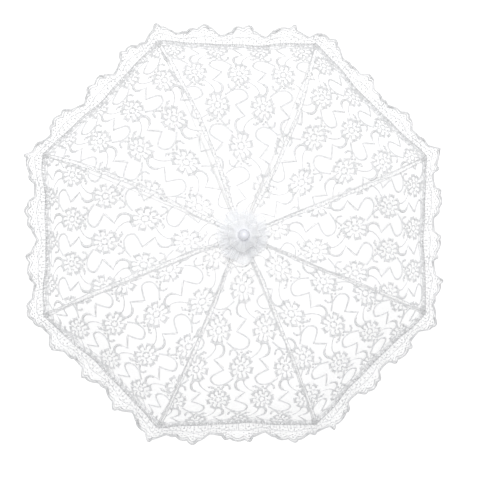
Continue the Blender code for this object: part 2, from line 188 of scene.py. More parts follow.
# Layers of the rosette, in mm: name, inner and outer radius, height of the edge, rise to the neck,
# pleats, then the flat size in metres and the node it lies on
ROSETTE_LAYERS = [
    ("rosette_lower", 7.6, 30.2, 352.4, 11.4, 41, (0.14, 0.03), "canopy_cap"),
    ("rosette_middle", 7.6, 26.5, 357.2, 10.4, 36, (0.125, 0.026), "canopy_cap"),
    ("rosette_upper", 7.6, 21.0, 361.8, 9.4, 29, (0.11, 0.021), "canopy_cap"),
    ("rosette_frill", 7.6, 13.6, 374.6, -2.6, 13, (0.055, 0.01), "ferrule"),
    ("rosette_tuft", 6.1, 16.5, 375.4, 9.4, 17, (0.08, 0.0145), "ferrule"),
]
ROSETTE_POINTS = 481
ROSETTE_ROWS = 20

# Bunched cloth round the ferrule's neck: radius and height of each fold's points in mm, and the binding
NECK_FOLDS = 40
NECK_LINE = [(7.3, 373.4), (8.2, 372.6), (9.4, 370.9), (10.8, 368.9), (12.4, 367.1)]
BINDING_TURNS = 3
BINDING_RADIUS = 8.7 * MM
BINDING_Z = 372.0 * MM

# Slant of the net's threads: rise over run
NET_SLANT = 0.577

# Light, floor and camera
WORLD_LIGHT = 0.505
KEY_PLACE = (-0.1, 0.42, 2.2)
KEY_TARGET = (0.0, 0.0, 0.3)
KEY_SIZE = 1.0
KEY_POWER = 25.2
FLOOR_HALF = 9.0
FLOOR_Z = -1.0 * MM
FLOOR_GLOW = 0.37
CAMERA_PLACE = (-0.044, 0.0, 1.197)
CAMERA_TARGET = (0.0149, -0.0178, 0.247)
CAMERA_LENS = 57.5


# ---------------------------------------------------------------- cloth surface


def rib_height(x):
    """Height and slope of the rib's centreline at x from its pivot. x is an array."""
    sine = math.sin(INNER_SLOPE) + np.maximum(x - BEND_START, 0.0) / BEND_RADIUS
    slope = np.arcsin(np.minimum(sine, 0.999))
    start = -BEND_START * math.tan(INNER_SLOPE)
    bent = start - BEND_RADIUS * (math.cos(INNER_SLOPE) - np.cos(slope))
    return np.where(x <= BEND_START, -x * math.tan(INNER_SLOPE), bent), slope


def cloth_line(radius):
    """Radius and height of the cloth over a rib, from the rib's own radius."""
    height, slope = rib_height(radius - PIVOT_RADIUS)
    return radius + CLOTH_LIFT * np.sin(slope), CROWN_PIVOT_Z + height + CLOTH_LIFT * np.cos(slope)


def half_width(radius):
    """Distance from a gore's middle to the rib, square to the gore's middle."""
    return cloth_line(radius)[0] * math.sin(HALF)


def hem_at(share):
    """Rib radius whose chord holds the hem. share is 0 on the rib and 1 at the gore's middle."""
    return HEM_RADIUS - HEM_SCALLOP / math.cos(HALF) * np.sin(share * math.pi / 2.0) ** 2


TABLE_RADIUS = np.linspace(INNER_RADIUS, HEM_RADIUS + 2.0 * MM, 600)
TABLE_ALONG, TABLE_HEIGHT = cloth_line(TABLE_RADIUS)
TABLE_STEPS = np.hypot(np.diff(TABLE_ALONG * math.cos(HALF)), np.diff(TABLE_HEIGHT))
TABLE_LENGTH = np.concatenate([[0.0], np.cumsum(TABLE_STEPS)])
HEM_LENGTH = float(np.interp(hem_at(1.0), TABLE_RADIUS, TABLE_LENGTH))


def radius_at(length):
    """Rib radius at a length of cloth out from the crown, along the gore's middle."""
    return np.interp(length, TABLE_LENGTH, TABLE_RADIUS)


def turned_by(points, angle):
    """The points turned about the shaft."""
    cosine, sine = np.cos(angle), np.sin(angle)
    x = points[..., 0] * cosine - points[..., 1] * sine
    y = points[..., 0] * sine + points[..., 1] * cosine
    return np.stack([x, y, points[..., 2]], axis=-1)


def gore_angle(gore):
    """Direction of a gore's middle."""
    return 2.0 * HALF * (gore + 1)


def outness_at(radius):
    """0 at the cloth's inner edge and 1 at the hem."""
    return np.clip((radius - INNER_RADIUS) / (HEM_RADIUS - INNER_RADIUS), 0.0, 1.0)


def drift(angle, radius):
    """Sideways drift of the cloth, counterclockwise positive. Arrays."""
    most = DRIFT_TWIST - DRIFT_SHIFT_X * np.sin(angle) + DRIFT_SHIFT_Y * np.cos(angle)
    return most * np.sin(math.pi * outness_at(radius))


def drifted(points, radius):
    """The points turned about the shaft by the cloth's drift."""
    angle = np.arctan2(points[..., 1], points[..., 0])
    return turned_by(points, drift(angle, radius) / np.hypot(points[..., 0], points[..., 1]))


def gore_point(gore, across, radius):
    """Points of the cloth in the row frame, from sideways distance and rib radius. Arrays."""
    along, height = cloth_line(radius)
    width = along * math.sin(HALF)
    share = np.clip(1.0 - np.abs(across) / width, 0.0, 1.0)
    sag = CHORD_SAG * np.sin(math.pi / 2.0 * share) ** 2 * np.sin(math.pi * outness_at(radius))
    rib = np.where(across > 0.0, gore + 1, gore) % GORES
    wave = np.sin(2.0 * math.pi * radius / PUCKER_PITCH + 1.7 * rib + 0.8 * np.sin(31.0 * radius + rib))
    fade = np.exp(-(width - np.abs(across)) / PUCKER_REACH) * (1.0 - share)
    height = height - sag + PUCKER_HEIGHT * wave * fade * np.clip(width / PUCKER_FULL_WIDTH, 0.0, 1.0)
    flat = np.stack([along * math.cos(HALF) + 0.0 * across, across + 0.0 * radius, height], axis=-1)
    return drifted(turned_by(flat, gore_angle(gore)), radius)


def section_point(rib, radius, share):
    """Points of one rib's section of the cloth. share runs from -1 to 1 across it."""
    across = (1.0 - np.abs(share)) * half_width(radius)
    after = gore_point(rib, -across, radius)
    before = gore_point(rib - 1, across, radius)
    return np.where((share >= 0.0)[..., None], after, before)


def ruffle_swing(place):
    """Height wave, sideways curl and reach of the ruffle, each about -1 to 1. place counts gores."""
    turn = 2.0 * math.pi * place / GORES
    fast = RUFFLE_WAVES * turn + 1.1 * np.sin(5.0 * turn + 1.0) + 0.5 * np.sin(11.0 * turn)
    slow = RUFFLE_SLOW_WAVES * turn + 1.2 * np.sin(3.0 * turn + 2.0)
    size = 0.72 + 0.28 * np.sin(13.0 * turn + 2.0)
    return size * np.sin(fast) + 0.35 * np.sin(slow), size * np.cos(fast), np.sin(slow + 0.8)


def ruffle_point(rib, share, fraction):
    """Points of the ruffle under one rib's section. fraction is 0 at the hem and 1 at the edge."""
    size = np.abs(share)
    place = rib + share / 2.0
    hem = section_point(rib, hem_at(size) + 0.6 * MM + hem_wander(place), share)
    length = RUFFLE_AT_RIB + (RUFFLE_AT_MIDDLE - RUFFLE_AT_RIB) * np.sin(size * math.pi / 2.0) ** 0.6
    length = length + SCALLOP_DEPTH * (np.abs(np.sin(math.pi * SCALLOPS_PER_GORE * place)) - 0.6)
    wave, curl, spread = ruffle_swing(place)
    heading = (2 * rib + 1 + share) * HALF
    reach = fraction * length * (1.0 - 0.05 * wave + RUFFLE_SPREAD * spread)
    rise = RUFFLE_WAVE_HEIGHT * wave * fraction**0.8
    out = reach * math.cos(RUFFLE_SLOPE) + rise * math.sin(RUFFLE_SLOPE)
    up = -reach * math.sin(RUFFLE_SLOPE) + rise * math.cos(RUFFLE_SLOPE)
    beside = RUFFLE_CURL * curl * fraction**1.3
    x = out * np.cos(heading) - beside * np.sin(heading)
    y = out * np.sin(heading) + beside * np.cos(heading)
    return hem + np.stack([x, y, up], axis=-1)


# ---------------------------------------------------------------- mesh building


class Strands:
    """Collects threads, beads and strips of one piece."""

    def __init__(self):
        self.points = []
        self.faces = []
        self.count = 0

    def add(self, points, faces):
        """Add points and the faces between them."""
        self.points.append(points)
        self.faces.extend((np.asarray(faces) + self.count).tolist())
        self.count += len(points)

    def thread(self, line, normals, half_width, half_height, sides=4):
        """A thread along line, lying on the surface with those normals."""
        along = np.gradient(line, axis=0)
        along /= np.maximum(np.linalg.norm(along, axis=1, keepdims=True), 1e-12)
        beside = np.cross(normals, along)
        beside /= np.maximum(np.linalg.norm(beside, axis=1, keepdims=True), 1e-12)
        turns = 2.0 * math.pi * np.arange(sides) / sides
        rings = (
            line[:, None, :]
            + half_width * np.cos(turns)[None, :, None] * beside[:, None, :]
            + half_height * np.sin(turns)[None, :, None] * normals[:, None, :]
        )
        count = len(line)
        index = np.arange(count * sides).reshape(count, sides)
        ahead = np.roll(index, -1, axis=1)
        quads = np.stack([index[:-1], ahead[:-1], ahead[1:], index[1:]], axis=-1).reshape(-1, 4)
        self.add(rings.reshape(-1, 3), quads)
        first = self.count - count * sides
        self.faces.append(list(range(first, first + sides))[::-1])
        self.faces.append(list(range(self.count - sides, self.count)))

    def bead(self, center, normal, radius, height):
        """A small six-sided knot on the surface, pointed above and below."""
        side = np.cross(normal, (0.31, 0.22, 0.93))
        side /= np.linalg.norm(side)
        other = np.cross(normal, side)
        turns = 2.0 * math.pi * np.arange(6) / 6.0
        ring = center + radius * (np.cos(turns)[:, None] * side + np.sin(turns)[:, None] * other)
        points = np.vstack([ring, center + normal * height, center - normal * height])
        faces = [(i, (i + 1) % 6, 6) for i in range(6)] + [((i + 1) % 6, i, 7) for i in range(6)]
        self.add(points, faces)

    def piece(self, name, look):
        """All of it as one mesh object."""
        return new_piece(name, np.vstack(self.points), self.faces, look)


def new_piece(name, points, faces, look, smooth=True):
    """A mesh object in the scene."""
    mesh = bpy.data.meshes.new(name)
    mesh.from_pydata(points.tolist(), [], faces)
    mesh.validate()
    mesh.polygons.foreach_set("use_smooth", [smooth] * len(mesh.polygons))
    mesh.materials.append(look)
    obj = bpy.data.objects.new(name, mesh)
    bpy.context.scene.collection.objects.link(obj)
    return obj


def grid_piece(name, points, look, uv):
    """A sheet from a grid of points, rows by columns, with uv in metres along the cloth."""
    rows, columns = points.shape[:2]
    index = np.arange(rows * columns).reshape(rows, columns)
    quads = np.stack([index[:-1, :-1], index[1:, :-1], index[1:, 1:], index[:-1, 1:]], axis=-1)
    obj = new_piece(name, points.reshape(-1, 3), quads.reshape(-1, 4).tolist(), look)
    layer = obj.data.uv_layers.new(name="cloth")
    corner = np.zeros(len(obj.data.loops), dtype=np.int32)
    obj.data.loops.foreach_get("vertex_index", corner)
    layer.data.foreach_set("uv", uv.reshape(-1, 2)[corner].astype(np.float32).ravel())
    return obj


def resampled(line, step):
    """The same polyline with points about step apart. Corners stay."""
    line = np.asarray(line, dtype=float)
    result = [line[:1]]
    for start, end in zip(line[:-1], line[1:]):
        count = max(1, int(round(np.linalg.norm(end - start) / step)))
        shares = np.linspace(0.0, 1.0, count + 1)[1:, None]
        result.append(start + (end - start) * shares)
    return np.vstack(result)


def smooth_curve(points, per_span=6):
    """Catmull-Rom curve through points in the plane."""
    points = np.asarray(points, dtype=float)
    padded = np.vstack([2 * points[0] - points[1], points, 2 * points[-1] - points[-2]])
    result = []
    for i in range(len(points) - 1):
        a, b, c, d = padded[i : i + 4]
        square = 2 * a - 5 * b + 4 * c - d
        cube = 3 * b - a - 3 * c + d
        for t in np.arange(per_span) / per_span:
            result.append(0.5 * (2 * b + (c - a) * t + square * t**2 + cube * t**3))
    result.append(points[-1])
    return np.array(result)


def circle(center, radius, count, start=0.0, sweep=2.0 * math.pi):
    """Points of an arc in the plane, or of the whole circle."""
    turns = start + sweep * np.arange(count + 1) / count
    return np.stack([center[0] + radius * np.cos(turns), center[1] + radius * np.sin(turns)], axis=-1)


# ---------------------------------------------------------------- lace motifs


def toward(turn):
    """Unit vector in the plane."""
    return np.array([math.cos(turn), math.sin(turn)])


def flower():
    """Threads and beads of one flower, in mm: (line, half width, sides) and (center, radius)."""
    stretch = np.array([1.0, FLOWER_STRETCH])
    threads = []
    beads = []
    for petal in range(PETALS):
        turn = 2.0 * math.pi * (petal + 0.25) / PETALS + 0.09 * math.sin(2.4 * petal)
        reach = 1.0 + 0.06 * math.sin(1.9 * petal + 0.7)
        out = toward(turn)
        loop = circle(out * PETAL_AT * reach, PETAL_LOOP, 8, turn - 2.5, 5.0)
        arc = circle(out * ARC_AT * reach, ARC_LOOP, 5, turn - 1.3, 2.6)
        threads.append((loop * stretch, 0.7, 4))
        threads.append((arc * stretch, 1.0, 6))
        for side in (-0.2, 0.21):
            beads.append((RIM_KNOT_AT * reach * toward(turn + side) * stretch, RIM_KNOT))
        beads.append((INNER_KNOT_AT * toward(turn + math.pi / PETALS) * stretch, INNER_KNOT))
    threads.append((circle((0.0, 0.0), MIDDLE_RING, 12) * stretch, 0.6, 4))
    for spot in range(FLOWER_DOTS):
        out = toward(2.0 * math.pi * (spot + 0.1) / FLOWER_DOTS)
        beads.append((out * DOT_AT * stretch, DOT))
        threads.append((np.array([out * DOT_AT, out * SPOKE_END]) * stretch, 0.5, 4))
    return threads, beads


def beaded(points, half, size, every):
    """A curved thread with beads on it, every so many points."""
    line = smooth_curve(points)
    return [(line, half, 6)], [(p, size) for p in line[every // 2 :: every]]


def sprays():
    """The cup and the arm on one end of the flower and the hook on the other, in mm."""
    hook = [(3.0, 16.4), (-1.5, 15.8), (-4.8, 19.0), (-5.8, 24.0), (-4.6, 29.0), (-1.0, 32.4)]
    cup = [(-3.2, -16.8), (-5.0, -20.6), (-8.4, -24.2), (-12.0, -22.4), (-13.0, -17.0)]
    arm = [(3.2, -16.8), (5.4, -19.6), (8.4, -22.0), (11.0, -20.8)]
    threads = []
    beads = [((0.0, -20.6), 1.6), ((-2.8, -17.8), 1.6), ((2.8, -17.8), 1.6), ((7.4, -19.4), 1.4)]
    for points, half, size, every in ((hook, 1.15, 1.7, 3), (cup, 1.0, 1.5, 4), (arm, 0.9, 1.4, 5)):
        more_threads, more_beads = beaded(points, half, size, every)
        threads = threads + more_threads
        beads = beads + more_beads
    return threads, [(np.array(center), size) for center, size in beads]


def links():
    """The bold bell curve beside the next row, and the thin angular lines that tie the rows together."""
    rise = [(-5.3, 49.5), (1.8, 53.6), (7.4, 58.0), (8.6, 62.6)]
    fall = [(5.8, 68.4), (0.0, 71.0), (-8.2, 69.0), (-16.5, 62.0)]
    bell = smooth_curve(rise + fall)
    zigzag = np.array([(-1.0, 32.4), (5.0, 35.6), (-5.3, 49.5)])
    double = np.array([(2.8, 37.2), (-5.6, 46.8)])
    leg = smooth_curve([(3.0, 16.4), (4.2, 23.0), (9.0, 30.0), (16.6, 36.0)])
    threads = [(bell, 1.1, 6), (zigzag, 0.64, 4), (double, 0.4, 4), (leg, 0.64, 4)]
    return threads, [(np.array((-5.3, 49.5)), 1.1), (np.array((5.0, 35.6)), 0.9)]


def lace_unit():
    """Threads and beads of one repeat of the lace."""
    threads, beads = flower()
    for more_threads, more_beads in (sprays(), links()):
        threads = threads + more_threads
        beads = beads + more_beads
    return threads, beads


def inside(across, radius):
    """True where the motif lies on the cloth, clear of the seams, the hem and the crown."""
    width = half_width(radius)
    share = np.clip(1.0 - np.abs(across) / width, 0.0, 1.0)
    clear_of_seam = np.abs(across) < width - EDGE_MARGIN
    return clear_of_seam & (radius < hem_at(share) - EDGE_MARGIN) & (radius > INNER_RADIUS + 2.0 * MM)


def surface_frame(gore, across, radius):
    """Points and upward normals of the cloth."""
    step = 0.4 * MM
    here = gore_point(gore, across, radius)
    sideways = gore_point(gore, across + step, radius) - here
    outward = gore_point(gore, across, radius + step) - here
    normals = np.cross(outward, sideways)
    normals /= np.linalg.norm(normals, axis=-1, keepdims=True)
    normals *= np.sign(normals[..., 2:3])
    return here, normals


def runs_of(mask):
    """Start and end of each run of True that is at least two long."""
    edges = np.flatnonzero(np.diff(np.concatenate([[0], mask.astype(int), [0]])))
    return [(a, b) for a, b in zip(edges[::2], edges[1::2]) if b - a >= 2]


def split_at_middle(line):
    """The line with a point put in wherever it crosses the gore's middle."""
    result = [line[0]]
    for before, after in zip(line[:-1], line[1:]):
        if before[0] * after[0] < 0.0:
            result.append(before + (after - before) * before[0] / (before[0] - after[0]))
            result[-1][0] = 0.0
        result.append(after)
    return np.array(result)


def drift_at(gore, across, up):
    """The drift at a place on the gore's plane."""
    radius = radius_at(HEM_LENGTH - up)
    return drift(gore_angle(gore) + across / radius, radius)


def weight_at(radius):
    """How heavy the lace's threads are at that rib radius. They grow outward."""
    return np.interp(radius, LACE_WEIGHT_RADII, LACE_WEIGHTS)


def lay_thread(strands, gore, line, half, sides):
    """Lay one plane line on a gore. Each half goes to the strands of its own rib."""
    line = resampled(line, THREAD_STEP)
    line[:, 0] -= drift_at(gore, line[:, 0], line[:, 1])
    line = split_at_middle(line)
    radius = radius_at(HEM_LENGTH - line[:, 1])
    for low, high in runs_of(inside(line[:, 0], radius)):
        part, part_radius = line[low:high], radius[low:high]
        for sign in (-1.0, 1.0):
            for start, end in runs_of(part[:, 0] * sign >= 0.0):
                across = part[start:end, 0]
                if np.abs(across).max() < 1e-7:
                    continue
                points, normals = surface_frame(gore, across, part_radius[start:end])
                rib = (gore + (sign > 0)) % GORES
                laid = half * MM * weight_at(part_radius[start:end].mean())
                strands[rib].thread(points, normals, laid, THREAD_HEIGHT + 0.3 * laid, sides)


def lay_bead(strands, gore, center, size):
    """Lay one bead on a gore."""
    radius = radius_at(HEM_LENGTH - center[1])
    across = center[0] - drift_at(gore, center[0], center[1])
    if not inside(across, radius):
        return
    point, normal = surface_frame(gore, np.array(across), np.array(radius))
    rib = (gore + (across > 0)) % GORES
    strands[rib].bead(point, normal, size * MM * weight_at(radius), KNOT_HEIGHT)


def lay_unit(strands, gore, unit, across, up, mirror, upright):
    """Lay one repeat of the lace on a gore. mirror and upright are 1 or -1."""
    threads, beads = unit
    for line, half, sides in threads:
        placed = np.stack([across + mirror * line[:, 0] * MM, up - upright * line[:, 1] * MM], axis=-1)
        lay_thread(strands, gore, placed, half, sides)
    for center, size in beads:
        place = (across + mirror * center[0] * MM, up - upright * center[1] * MM)
        lay_bead(strands, gore, place, size)


def lay_lace(strands):
    """The whole lace pattern: a half-drop repeat in each gore, every other row mirrored."""
    unit = lace_unit()
    for gore in range(GORES):
        start_across, start_up, upright, lean = GORE_LACE[gore]
        for row in LACE_ROWS:
            up = start_up * MM + row * REPEAT_ALONG
            shift = (row % 2) * REPEAT_ACROSS / 2.0
            mirror = -lean if row % 2 else lean
            radius = radius_at(np.clip(HEM_LENGTH - up, 0.0, HEM_LENGTH))
            for column in LACE_COLUMNS:
                across = start_across * MM + shift + column * REPEAT_ACROSS
                if abs(across) <= half_width(radius) + UNIT_REACH:
                    lay_unit(strands, gore, unit, across, up, mirror, upright)


# ---------------------------------------------------------------- pieces on each rib


def net_piece(rib, look):
    """The net ground of one rib's section, with a row of points along the rib."""
    side = np.linspace(0.0, 1.0, NET_COLUMNS)
    shares = np.concatenate([-side[::-1], side[1:]])
    fractions = np.linspace(0.0, 1.0, NET_ROWS)
    share, fraction = np.meshgrid(shares, fractions)
    radius = INNER_RADIUS + (hem_at(np.abs(share)) - INNER_RADIUS) * fraction
    points = section_point(rib, radius, share)
    length = np.interp(radius, TABLE_RADIUS, TABLE_LENGTH)
    uv = np.stack([share * half_width(radius), length], axis=-1)
    return grid_piece(f"canopy_net_{rib + 1}", points, look, uv)


def ruffle_piece(rib, look):
    """The net of the ruffle below one rib's section."""
    shares = np.linspace(-1.0, 1.0, RUFFLE_COLUMNS)
    fractions = np.linspace(0.0, 1.0, RUFFLE_ROWS)
    share, fraction = np.meshgrid(shares, fractions)
    points = ruffle_point(rib, share, fraction)
    uv = np.stack([share * RUFFLE_HALF_LENGTH, fraction * RUFFLE_AT_MIDDLE], axis=-1)
    return grid_piece(f"ruffle_net_{rib + 1}", points, look, uv)


def ruffle_frame(rib, share, fraction):
    """Points and normals of the ruffle."""
    here = ruffle_point(rib, share, fraction)
    sideways = ruffle_point(rib, share + 0.004, fraction) - here
    outward = ruffle_point(rib, share, fraction + 0.02) - here
    normals = np.cross(outward, sideways)
    normals /= np.linalg.norm(normals, axis=-1, keepdims=True)
    return here, normals


def ruffle_trim(rib, look):
    """Corded scalloped edge, inner cord, waves, dots and gathers of the ruffle."""
    strands = Strands()
    share = np.linspace(-1.0, 1.0, TRIM_POINTS)
    place = rib + share / 2.0
    scallop = np.abs(np.sin(math.pi * SCALLOPS_PER_GORE * place))
    edge, inner, middle = np.ones_like(share), 0.8 + 0.07 * scallop, 0.46 - 0.06 * scallop
    for fraction, half in ((edge, 1.35), (inner, 0.85), (middle, 0.6)):
        points, normals = ruffle_frame(rib, share, fraction)
        strands.thread(points, normals, half * MM, 0.42 * MM, 4)
    first = math.ceil((rib - 0.5) * SCALLOPS_PER_GORE)
    for number in range(first, first + SCALLOPS_PER_GORE + 1):
        for offset, fraction, size in RUFFLE_DOTS:
            spot = 2.0 * ((number + offset) / SCALLOPS_PER_GORE - rib)
            if abs(spot) < 1.0:
                point, normal = ruffle_frame(rib, np.array(spot), np.array(fraction))
                strands.bead(point, normal, 1.3 * size * MM, 0.6 * MM)
    for number in range(RUFFLE_GATHERS):
        spot = -0.985 + 1.97 * number / (RUFFLE_GATHERS - 1) + 0.006 * math.sin(5.1 * number + rib)
        far = 0.24 + 0.12 * math.sin(2.7 * number + 1.3 * rib)
        fraction = np.linspace(0.0, far, 5)
        points, normals = ruffle_frame(rib, np.full(5, spot), fraction)
        strands.thread(points + 0.3 * MM * normals, normals, 0.38 * MM, 0.35 * MM, 4)
    return strands.piece(f"ruffle_trim_{rib + 1}", look)


def hem_wander(place):
    """Slow in-and-out wander of the hem. place counts gores."""
    turn = 2.0 * math.pi * place / GORES
    return HEM_WANDER * (0.6 * np.sin(21.0 * turn + 1.0) + 0.4 * np.sin(34.0 * turn))


def hem_piece(rib, look):
    """Cords along the turned-up hem and the gathers of the ruffle's seam across them."""
    strands = Strands()
    share = np.linspace(-1.0, 1.0, HEM_POINTS)
    size = np.abs(share)
    for inset, half, height in HEM_CORDS:
        wobble = 0.35 * MM * np.sin(23.0 * (rib + share / 2.0) + 4.0 * inset)
        radius = hem_at(size) - inset * MM + wobble + hem_wander(rib + share / 2.0)
        points = section_point(rib, radius, share)
        normals = section_normals(rib, radius, share)
        strands.thread(points + 0.1 * MM * normals, normals, half * MM, height * MM, 6)
    for number in range(HEM_GATHERS):
        spot = -0.985 + 1.97 * number / (HEM_GATHERS - 1)
        reach = HEM_GATHER_REACH + 1.7 * math.sin(2.3 * number + rib) + 1.2 * math.sin(0.61 * number)
        radius = hem_at(np.abs(spot)) - np.array([0.3, reach]) * MM + hem_wander(rib + spot / 2.0)
        lean = 0.03 * math.sin(1.7 * number + 0.4 * rib)
        shares = np.clip(np.array([spot, spot + lean]), -0.999, 0.999)
        points = section_point(rib, radius, shares)
        normals = section_normals(rib, radius, shares)
        strands.thread(points + 0.6 * MM * normals, normals, 0.42 * MM, 0.3 * MM, 4)
    return strands.piece(f"hem_{rib + 1}", look)


def section_normals(rib, radius, share):
    """Upward normals of the cloth of one rib's section."""
    step = 0.5 * MM
    here = section_point(rib, radius, share)
    outward = section_point(rib, radius + step, share) - here
    nudge = np.where(share < 0.98, 0.01, -0.01)
    sideways = section_point(rib, radius, share + nudge) - here
    normals = np.cross(outward, sideways)
    normals /= np.linalg.norm(normals, axis=-1, keepdims=True)
    return normals * np.sign(normals[..., 2:3])


def seam_piece(rib, look):
    """Seam along the rib: a cord on each side of it, a loose line between them, stitches and knots."""
    strands = Strands()
    radius = np.linspace(INNER_RADIUS + 1.0 * MM, HEM_RADIUS - 0.5 * MM, SEAM_POINTS)
    along, height = cloth_line(radius)
    slope = rib_height(radius - PIVOT_RADIUS)[1]
    up = np.stack([np.sin(slope), np.zeros_like(slope), np.cos(slope)], axis=-1)
    ends = np.sin(math.pi * outness_at(radius))
    bow = 1.1 * MM * np.sin(21.0 * radius + 2.3 * rib) * ends
    angle = (2 * rib + 1) * HALF
    normals = turned_by(up, angle)

    def line_at(side, lift):
        """The seam's line moved sideways and up, in mm."""
        flat = np.stack([along, bow + side * MM, height], axis=-1) + lift * MM * up
        return drifted(turned_by(flat, angle), radius)

    for side, phase in ((-1.0, 0.0), (1.0, 2.0)):
        wobble = 0.45 * np.sin(90.0 * radius + phase + rib) + 0.2 * np.sin(330.0 * radius + phase)
        offset = side * (SEAM_HALF + wobble)
        strands.thread(line_at(offset, 0.3), normals, 0.48 * MM, 0.55 * MM, 5)
    loose = (2.6 + 0.5 * np.sin(140.0 * radius)) * np.sin(55.0 * radius + 1.9 * rib)
    strands.thread(line_at(loose, 0.55), normals, 0.32 * MM, 0.3 * MM, 4)
    left, right = line_at(-1.9, 0.6), line_at(1.9, 0.6)
    for start in range(0, len(radius) - 2, SEAM_STITCH_EVERY):
        dash = np.stack([left[start], right[start + 1]])
        strands.thread(dash, normals[start : start + 2], 0.3 * MM, 0.2 * MM, 4)
    spots = line_at(1.7 * np.sin(2.4 * np.arange(len(radius))), 0.7)
    for start in range(1, len(radius), SEAM_KNOT_EVERY):
        strands.bead(spots[start], normals[start], 0.75 * MM, 0.4 * MM)
    return strands.piece(f"seam_{rib + 1}", look)


def tip_tie(rib, look):
    """Thread wound round the tip cap where the hem is sewn to it."""
    low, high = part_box(f"tip_cap_{rib + 1}")
    center = (np.array(low) + np.array(high)) / 2.0
    angle = (2 * rib + 1) * HALF
    out = np.array([math.cos(angle), math.sin(angle), 0.0])
    axis = out * math.cos(TIE_SLOPE) - np.array([0.0, 0.0, math.sin(TIE_SLOPE)])
    side = np.cross(axis, out)
    side /= np.linalg.norm(side)
    top = np.cross(side, axis)
    if top[2] < 0.0:
        top = -top
    turns = np.linspace(0.0, 2.0 * TIE_TURNS * math.pi, 81)
    reach = np.where(np.sin(turns) > 0.0, TIE_TOP_RADIUS, TIE_RADIUS)
    line = (
        center
        + axis * (np.linspace(-2.2, -0.4, len(turns)) * MM)[:, None]
        + side * (TIE_RADIUS * np.cos(turns))[:, None]
        + top * (reach * np.sin(turns))[:, None]
    )
    normals = side * np.cos(turns)[:, None] + top * np.sin(turns)[:, None]
    strands = Strands()
    strands.thread(line, normals, 0.22 * MM, 0.2 * MM, 5)
    return strands.piece(f"tip_tie_{rib + 1}", look)


# ---------------------------------------------------------------- rosette


def rosette_layer(name, inner, outer, low, rise, pleats, phase, look):
    """One gathered disc of tulle. Its pleats deepen outward, unevenly, and its edge waves."""
    turn = np.linspace(0.0, 2.0 * math.pi, ROSETTE_POINTS)
    fractions = np.linspace(0.0, 1.0, ROSETTE_ROWS)
    angle, fraction = np.meshgrid(turn, fractions)
    wander = 0.9 * np.sin(3.0 * angle + phase) + 0.6 * np.sin(7.0 * angle - 2.0 * phase)
    wave = np.sin(pleats * angle + phase + wander + 1.2 * fraction)
    fine = np.sin(2.0 * pleats * angle + 3.0 * wander - phase)
    uneven = 0.5 + 0.32 * np.cos(angle - 3.9) + 0.14 * np.sin(5.0 * angle + 3.0 * phase)
    billow = np.sin(8.0 * angle + 2.0 * phase + 1.1 * np.sin(2.0 * angle))
    lobes = 0.05 * np.sin(3.0 * angle + phase) + 0.05 * billow
    edge = outer * (0.95 + 0.02 * wave + lobes)
    radius = inner + (edge - inner) * fraction
    dome = low + rise * np.cos(fraction * math.pi / 2.0) ** 0.9
    ripple = (0.1 + 0.42 * fraction) * uneven * (wave + 0.35 * fine)
    height = dome + MM * (ripple + 1.7 * fraction**1.5 * billow)
    points = np.stack([radius * np.cos(angle), radius * np.sin(angle), height], axis=-1)
    uv = np.stack([angle * 25.0 * MM, fraction * outer], axis=-1)
    return grid_piece(name, points, look, uv)


def rosette_edge(name, sheet, look):
    """Rolled edge along the outside of a rosette layer."""
    points = np.array([v.co for v in sheet.data.vertices])[-ROSETTE_POINTS:]
    normals = np.tile(np.array([0.0, 0.0, 1.0]), (ROSETTE_POINTS, 1))
    strands = Strands()
    strands.thread(points, normals, 0.17 * MM, 0.17 * MM, 4)
    return strands.piece(name, look)


def gathered_neck(look):
    """Bunched cloth and binding thread round the ferrule's neck."""
    strands = Strands()
    for number in range(NECK_FOLDS):
        angle = 2.0 * math.pi * number / NECK_FOLDS
        out = np.array([math.cos(angle), math.sin(angle), 0.0])
        swell = 0.35 * math.sin(7.0 * angle) * MM
        line = np.array([out * (r * MM + swell) + np.array([0.0, 0.0, z * MM]) for r, z in NECK_LINE])
        normals = np.tile(out * 0.6 + np.array([0.0, 0.0, 0.8]), (len(NECK_LINE), 1))
        strands.thread(line, normals, 0.62 * MM, 0.75 * MM, 6)
    turns = np.linspace(0.0, 2.0 * BINDING_TURNS * math.pi, 181)
    out = np.stack([np.cos(turns), np.sin(turns), np.zeros_like(turns)], axis=-1)
    height = BINDING_Z + 0.25 * MM * np.sin(turns / 3.0)
    wound = out * BINDING_RADIUS + np.array([0.0, 0.0, 1.0]) * height[:, None]
    strands.thread(wound, out, 0.3 * MM, 0.35 * MM, 5)
    return strands.piece("rosette_gathers", look)


# ---------------------------------------------------------------- materials


